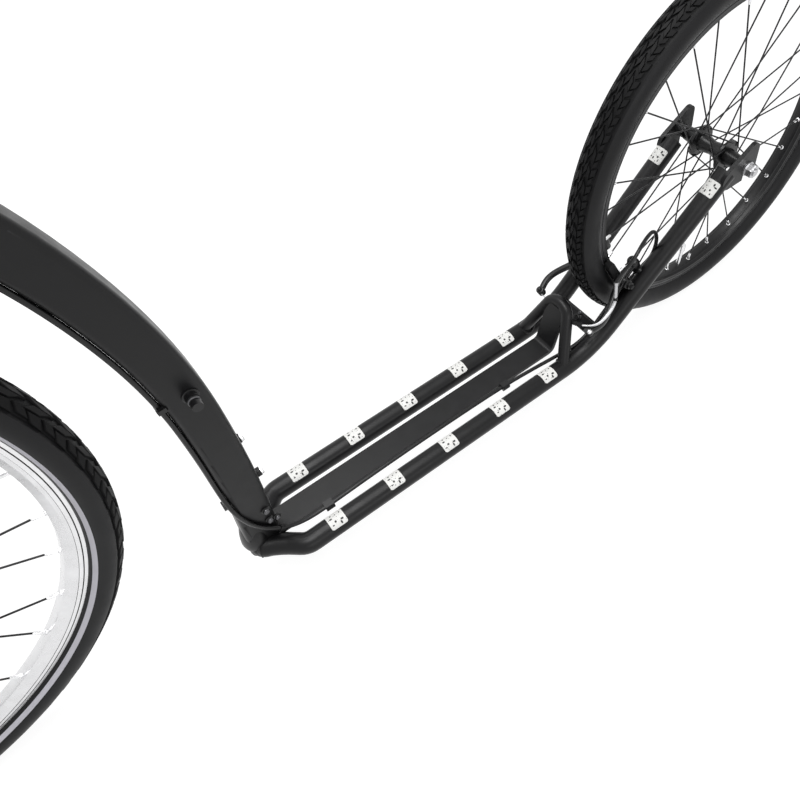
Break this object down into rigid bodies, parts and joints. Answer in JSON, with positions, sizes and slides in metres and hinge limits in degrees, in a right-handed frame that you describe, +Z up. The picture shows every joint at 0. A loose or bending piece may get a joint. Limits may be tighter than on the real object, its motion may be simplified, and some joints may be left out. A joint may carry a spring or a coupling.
{
  "type": "footbike",
  "caption": "Two-wheeled kick footbike with a low two-tube footboard, wide curved down tube, large spoked front wheel, small rear wheel and rim brakes.",
  "frame": {"origin": "middle of the footboard, at the top of its side tubes", "axes": "+X forward, +Y to the rider's left, +Z up"},
  "size_m": [1.7189, 0.6104, 1.0441],
  "materials": {
    "black_alloy": "black anodised",
    "bright_alloy": "polished",
    "cable_sleeve": "satin sleeve",
    "frame_paint": "satin black powder coat",
    "grip_rubber": "matt",
    "pad_rubber": "matt",
    "spoke_steel": "black",
    "steel": "zinc plated",
    "tyre": "matt rubber"
  },
  "bodies": {
    "frame": {"arch": "frame_paint", "bottle_bosses": "black_alloy", "brake_bridge": "frame_paint", "cable_clips": "bright_alloy", "centre_bar": "frame_paint", "down_tube": "frame_paint", "dropout_left": "frame_paint", "dropout_right": "frame_paint", "foot_shoe": "frame_paint", "head_tube": "frame_paint", "headset": "black_alloy", "rear_axle": "steel", "rear_brake_arm_left": "black_alloy", "rear_brake_arm_right": "black_alloy", "rear_brake_cable": "cable_sleeve", "rear_brake_noodle": "bright_alloy", "rear_brake_pads": "pad_rubber", "side_stud": "black_alloy", "side_tube_left": "frame_paint", "side_tube_right": "frame_paint"},
    "steering": {"brake_lever_left": "black_alloy", "brake_lever_right": "black_alloy", "fork": "frame_paint", "front_axle": "steel", "front_brake_arm_left": "black_alloy", "front_brake_arm_right": "black_alloy", "front_brake_pads": "pad_rubber", "grip_left": "grip_rubber", "grip_right": "grip_rubber", "handlebar": "black_alloy", "rear_brake_cable_loop": "cable_sleeve", "spacers": "black_alloy", "stem": "black_alloy"},
    "front_wheel": {"front_hub": "black_alloy", "front_rim": "black_alloy", "front_spokes": "spoke_steel", "front_tyre": "tyre", "front_valve": "bright_alloy"},
    "rear_wheel": {"rear_hub": "black_alloy", "rear_rim": "black_alloy", "rear_spokes": "spoke_steel", "rear_tyre": "tyre", "rear_valve": "bright_alloy"}
  },
  "joints": [
    {"name": "steering_turn", "type": "hinge", "parent": "frame", "child": "steering", "pos_m": [0.47969, 0, 0.6284], "axis": [-0.3256, 0, 0.9455], "range_deg": [-60, 60]},
    {"name": "front_wheel_spin", "type": "hinge", "parent": "steering", "child": "front_wheel", "pos_m": [0.65, 0, 0.272], "axis": [0, 1, 0], "continuous": true},
    {"name": "rear_wheel_spin", "type": "hinge", "parent": "frame", "child": "rear_wheel", "pos_m": [-0.473, 0, 0.168], "axis": [0, 1, 0], "continuous": true}
  ]
}
